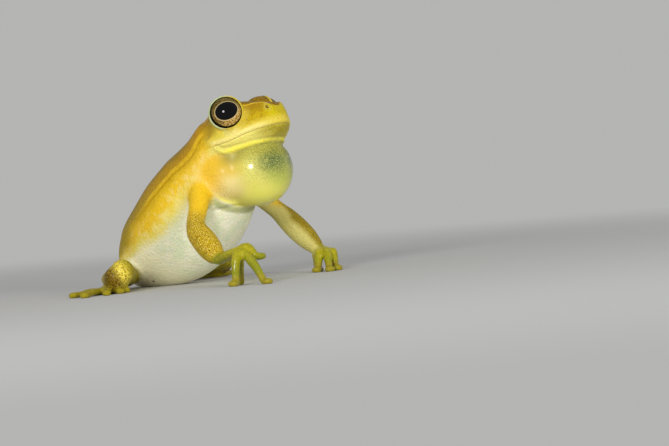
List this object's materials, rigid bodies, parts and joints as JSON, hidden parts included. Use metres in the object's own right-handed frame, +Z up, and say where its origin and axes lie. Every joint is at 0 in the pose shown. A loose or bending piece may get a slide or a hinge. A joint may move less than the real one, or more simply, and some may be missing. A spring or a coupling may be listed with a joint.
{
  "type": "small yellow treefrog",
  "caption": "Still, life-size model of a small yellow treefrog: a calling male sitting upright on its fingertips and belly with its round throat sac full of air.",
  "frame": {"origin": "middle of the flat under the belly, on the surface the frog sits on", "axes": "+X forward, the way the snout points; +Y to the frog's left; +Z up"},
  "size_m": [0.024, 0.0313, 0.0166],
  "materials": {
    "skin": "moist, soft satin skin, orange-yellow on the back and cream on the belly",
    "sac": "thin, taut, glossy skin, see-through yellow-green",
    "eye": "wet clear cornea over a copper-gold iris with a black oval pupil"
  },
  "bodies": {
    "root": {"head": "skin", "trunk": "skin", "vocal_sac": "sac", "eye_left": "eye", "upper_arm_left": "skin", "forearm_left": "skin", "hand_left": "skin", "thigh_left": "skin", "shank_left": "skin", "foot_left": "skin", "eye_right": "eye", "upper_arm_right": "skin", "forearm_right": "skin", "hand_right": "skin", "thigh_right": "skin", "shank_right": "skin", "foot_right": "skin"}
  },
  "joints": []
}
